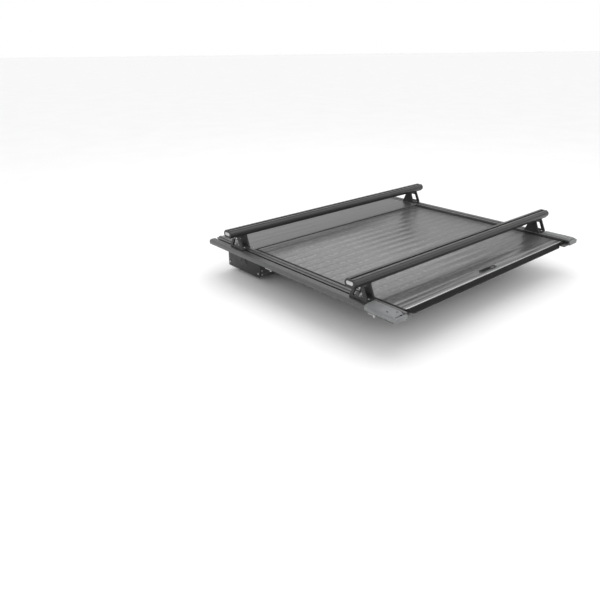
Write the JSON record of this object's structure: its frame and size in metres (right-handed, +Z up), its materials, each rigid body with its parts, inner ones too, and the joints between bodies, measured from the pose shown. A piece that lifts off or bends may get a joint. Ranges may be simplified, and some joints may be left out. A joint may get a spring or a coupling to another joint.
{
  "type": "roll-up tonneau cover",
  "caption": "Slatted aluminium cover that rolls into a canister at the cab end of a pickup bed, with side rails and sliding load bars.",
  "frame": {"origin": "middle of the cover's rear edge, on the plane of the bed's sills", "axes": "+X right, +Y towards the cab, +Z up"},
  "size_m": [1.533, 1.326, 0.309],
  "materials": {
    "slat_black": "satin black powder coat, fine lines across",
    "rail_black": "black powder-coated extrusion",
    "bar_black": "satin black powder coat",
    "leg_black": "textured black powder coat on cast aluminium",
    "grey_plastic": "moulded, lightly grained",
    "black_plastic": "moulded, fine grain",
    "cap_grey": "moulded, smooth",
    "seal_rubber": "matte extruded rubber",
    "steel": "zinc plated",
    "mill_aluminium": "plain mill finish"
  },
  "bodies": {
    "root": {"left_rail": "rail_black", "left_side_seal": "seal_rubber", "left_rail_end_cover": "grey_plastic", "left_rear_sill_clamp": "mill_aluminium", "left_front_sill_clamp": "mill_aluminium", "right_rail": "rail_black", "right_side_seal": "seal_rubber", "right_rail_end_cover": "grey_plastic", "right_rear_sill_clamp": "mill_aluminium", "right_front_sill_clamp": "mill_aluminium", "canister_tray": "rail_black", "left_canister_end_plate": "black_plastic", "left_drain_spigot": "black_plastic", "right_canister_end_plate": "black_plastic", "right_drain_spigot": "black_plastic", "canister_lid": "slat_black", "lid_wiper": "seal_rubber", "drum_shaft": "steel", "torsion_spring": "steel"},
    "end_slat": {"end_slat": "slat_black", "tail_seal": "seal_rubber", "handle_bezel": "black_plastic"},
    "handle_lever": {"handle_lever": "black_plastic"},
    "left_latch_bolt": {"left_latch_bolt": "steel"},
    "right_latch_bolt": {"right_latch_bolt": "steel"},
    "drum": {"drum": "mill_aluminium", "left_drum_bush": "black_plastic", "right_drum_bush": "black_plastic"},
    "slat_01": {"slat_01": "slat_black"},
    "slat_02": {"slat_02": "slat_black"},
    "slat_03": {"slat_03": "slat_black"},
    "slat_04": {"slat_04": "slat_black"},
    "slat_05": {"slat_05": "slat_black"},
    "slat_06": {"slat_06": "slat_black"},
    "slat_07": {"slat_07": "slat_black"},
    "slat_08": {"slat_08": "slat_black"},
    "slat_09": {"slat_09": "slat_black"},
    "slat_10": {"slat_10": "slat_black"},
    "slat_11": {"slat_11": "slat_black"},
    "slat_12": {"slat_12": "slat_black"},
    "slat_13": {"slat_13": "slat_black"},
    "slat_14": {"slat_14": "slat_black"},
    "slat_15": {"slat_15": "slat_black"},
    "slat_16": {"slat_16": "slat_black"},
    "slat_17": {"slat_17": "slat_black"},
    "slat_18": {"slat_18": "slat_black"},
    "rear_bar": {"rear_bar": "bar_black", "rear_bar_left_end_cap": "cap_grey", "rear_bar_left_leg": "leg_black", "rear_bar_left_clamp_bolt": "steel", "rear_bar_right_end_cap": "cap_grey", "rear_bar_right_leg": "leg_black", "rear_bar_right_clamp_bolt": "steel"},
    "front_bar": {"front_bar": "bar_black", "front_bar_left_end_cap": "cap_grey", "front_bar_left_leg": "leg_black", "front_bar_left_clamp_bolt": "steel", "front_bar_right_end_cap": "cap_grey", "front_bar_right_leg": "leg_black", "front_bar_right_clamp_bolt": "steel"}
  },
  "joints": [
    {"name": "cover_slide", "type": "slide", "parent": "root", "child": "end_slat", "axis": [0, 1, 0], "range_m": [0, 0.93], "deforming": ["slat_01", "slat_02", "slat_03", "slat_04", "slat_05", "slat_06", "slat_07", "slat_08", "slat_09", "slat_10", "slat_11", "slat_12", "slat_13", "slat_14", "slat_15", "slat_16", "slat_17", "slat_18"]},
    {"name": "slat_01_slide", "type": "slide", "parent": "root", "child": "slat_01", "axis": [0, 1, 0], "range_m": [0, 0.9091]},
    {"name": "slat_02_slide", "type": "slide", "parent": "root", "child": "slat_02", "axis": [0, 1, 0], "range_m": [0, 0.8671]},
    {"name": "slat_03_slide", "type": "slide", "parent": "root", "child": "slat_03", "axis": [0, 1, 0], "range_m": [0, 0.8252]},
    {"name": "slat_04_slide", "type": "slide", "parent": "root", "child": "slat_04", "axis": [0, 1, 0], "range_m": [0, 0.7831]},
    {"name": "slat_05_slide", "type": "slide", "parent": "root", "child": "slat_05", "axis": [0, 1, 0], "range_m": [0, 0.7411]},
    {"name": "slat_06_slide", "type": "slide", "parent": "root", "child": "slat_06", "axis": [0, 1, 0], "range_m": [0, 0.6992]},
    {"name": "slat_07_slide", "type": "slide", "parent": "root", "child": "slat_07", "axis": [0, 1, 0], "range_m": [0, 0.6572]},
    {"name": "slat_08_slide", "type": "slide", "parent": "root", "child": "slat_08", "axis": [0, 1, 0], "range_m": [0, 0.6151]},
    {"name": "slat_09_slide", "type": "slide", "parent": "root", "child": "slat_09", "axis": [0, 1, 0], "range_m": [0, 0.5731]},
    {"name": "slat_10_slide", "type": "slide", "parent": "root", "child": "slat_10", "axis": [0, 1, 0], "range_m": [0, 0.5312]},
    {"name": "slat_11_slide", "type": "slide", "parent": "root", "child": "slat_11", "axis": [0, 1, 0], "range_m": [0, 0.4891]},
    {"name": "slat_12_slide", "type": "slide", "parent": "root", "child": "slat_12", "axis": [0, 1, 0], "range_m": [0, 0.4471]},
    {"name": "slat_13_slide", "type": "slide", "parent": "root", "child": "slat_13", "axis": [0, 1, 0], "range_m": [0, 0.4052]},
    {"name": "slat_14_slide", "type": "slide", "parent": "root", "child": "slat_14", "axis": [0, 1, 0], "range_m": [0, 0.3632]},
    {"name": "slat_15_slide", "type": "slide", "parent": "root", "child": "slat_15", "axis": [0, 1, 0], "range_m": [0, 0.3211]},
    {"name": "slat_16_slide", "type": "slide", "parent": "root", "child": "slat_16", "axis": [0, 1, 0], "range_m": [0, 0.2792]},
    {"name": "slat_17_slide", "type": "slide", "parent": "root", "child": "slat_17", "axis": [0, 1, 0], "range_m": [0, 0.2372]},
    {"name": "slat_18_slide", "type": "slide", "parent": "root", "child": "slat_18", "axis": [0, 1, 0], "range_m": [0, 0.1951]},
    {"name": "drum_spin", "type": "hinge", "parent": "root", "child": "drum", "pos_m": [0, 1.14, -0.047], "axis": [1, 0, 0], "range_deg": [-969.8, 0]},
    {"name": "left_latch_slide", "type": "slide", "parent": "end_slat", "child": "left_latch_bolt", "axis": [1, 0, 0], "range_m": [0, 0.012], "stiffness_N_per_m": 300, "springref_m": -0.01},
    {"name": "right_latch_slide", "type": "slide", "parent": "end_slat", "child": "right_latch_bolt", "axis": [-1, 0, 0], "range_m": [0, 0.0125]},
    {"name": "handle_press", "type": "hinge", "parent": "end_slat", "child": "handle_lever", "pos_m": [0, 0.041, 0.011], "axis": [1, 0, 0], "range_deg": [0, 18.5]},
    {"name": "rear_bar_slide", "type": "slide", "parent": "root", "child": "rear_bar", "axis": [0, 1, 0], "range_m": [0, 0.36]},
    {"name": "front_bar_slide", "type": "slide", "parent": "root", "child": "front_bar", "axis": [0, 1, 0], "range_m": [-0.36, 0.15]}
  ],
  "couplings": [
    {"joint": "slat_01_slide", "follows": "cover_slide", "ratio": 0.97742},
    {"joint": "slat_02_slide", "follows": "cover_slide", "ratio": 0.93226},
    {"joint": "slat_03_slide", "follows": "cover_slide", "ratio": 0.8871},
    {"joint": "slat_04_slide", "follows": "cover_slide", "ratio": 0.84193},
    {"joint": "slat_05_slide", "follows": "cover_slide", "ratio": 0.79677},
    {"joint": "slat_06_slide", "follows": "cover_slide", "ratio": 0.75161},
    {"joint": "slat_07_slide", "follows": "cover_slide", "ratio": 0.70645},
    {"joint": "slat_08_slide", "follows": "cover_slide", "ratio": 0.66129},
    {"joint": "slat_09_slide", "follows": "cover_slide", "ratio": 0.61613},
    {"joint": "slat_10_slide", "follows": "cover_slide", "ratio": 0.57097},
    {"joint": "slat_11_slide", "follows": "cover_slide", "ratio": 0.52581},
    {"joint": "slat_12_slide", "follows": "cover_slide", "ratio": 0.48064},
    {"joint": "slat_13_slide", "follows": "cover_slide", "ratio": 0.43548},
    {"joint": "slat_14_slide", "follows": "cover_slide", "ratio": 0.39032},
    {"joint": "slat_15_slide", "follows": "cover_slide", "ratio": 0.34516},
    {"joint": "slat_16_slide", "follows": "cover_slide", "ratio": 0.3},
    {"joint": "slat_17_slide", "follows": "cover_slide", "ratio": 0.25484},
    {"joint": "slat_18_slide", "follows": "cover_slide", "ratio": 0.20968},
    {"joint": "drum_spin", "follows": "cover_slide", "rad_per_m": -18.182},
    {"joint": "right_latch_slide", "follows": "left_latch_slide", "ratio": 1},
    {"joint": "handle_press", "follows": "left_latch_slide", "rad_per_m": 26.18}
  ]
}
